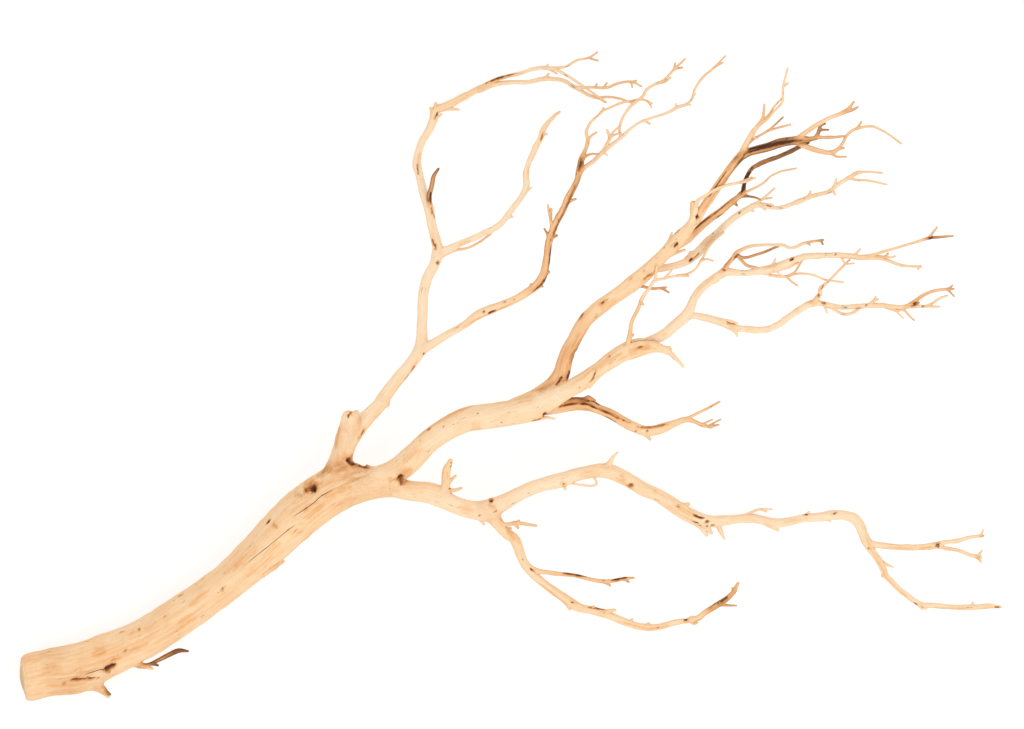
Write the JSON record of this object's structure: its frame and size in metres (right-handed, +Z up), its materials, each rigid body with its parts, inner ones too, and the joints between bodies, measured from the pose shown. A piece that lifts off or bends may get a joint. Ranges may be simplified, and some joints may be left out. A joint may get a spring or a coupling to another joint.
{
  "type": "driftwood branch",
  "caption": "Bare sandblasted driftwood branch with a sawn trunk end and slender forking limbs and twigs, lying flat as a natural decoration.",
  "frame": {"origin": "under the middle of the branch's box, on the surface that it lies on", "axes": "+X along the branch from the sawn end to the tips, +Y across it towards the left limbs, +Z up from the surface"},
  "size_m": [0.8814, 0.582, 0.2217],
  "materials": {
    "bare_wood": "matt, sandblasted bare wood"
  },
  "bodies": {
    "root": {"driftwood": "bare_wood"}
  },
  "joints": []
}
